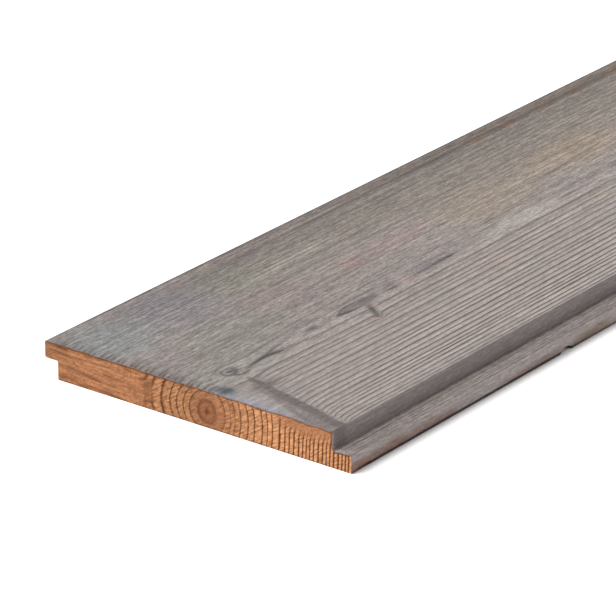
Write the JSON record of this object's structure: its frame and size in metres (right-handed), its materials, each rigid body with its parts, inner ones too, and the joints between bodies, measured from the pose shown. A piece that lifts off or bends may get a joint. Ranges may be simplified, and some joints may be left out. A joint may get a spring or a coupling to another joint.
{
  "type": "shiplap cladding board",
  "caption": "Grey weathered, brushed softwood cladding board with half-lap rebates along both long edges; each board laps over the next to clad a wall.",
  "frame": {"origin": "middle of the back face, on the surface that the board lies on", "axes": "+X along the grain and the length, +Y towards the upper lip, +Z out of the brushed face"},
  "size_m": [2.4, 0.196, 0.02],
  "materials": {
    "weathered_wood": "brushed softwood with a grey stain on the face and edges, raw orange-brown sawn ends and plain planed back"
  },
  "bodies": {
    "root": {"board": "weathered_wood"}
  },
  "joints": []
}
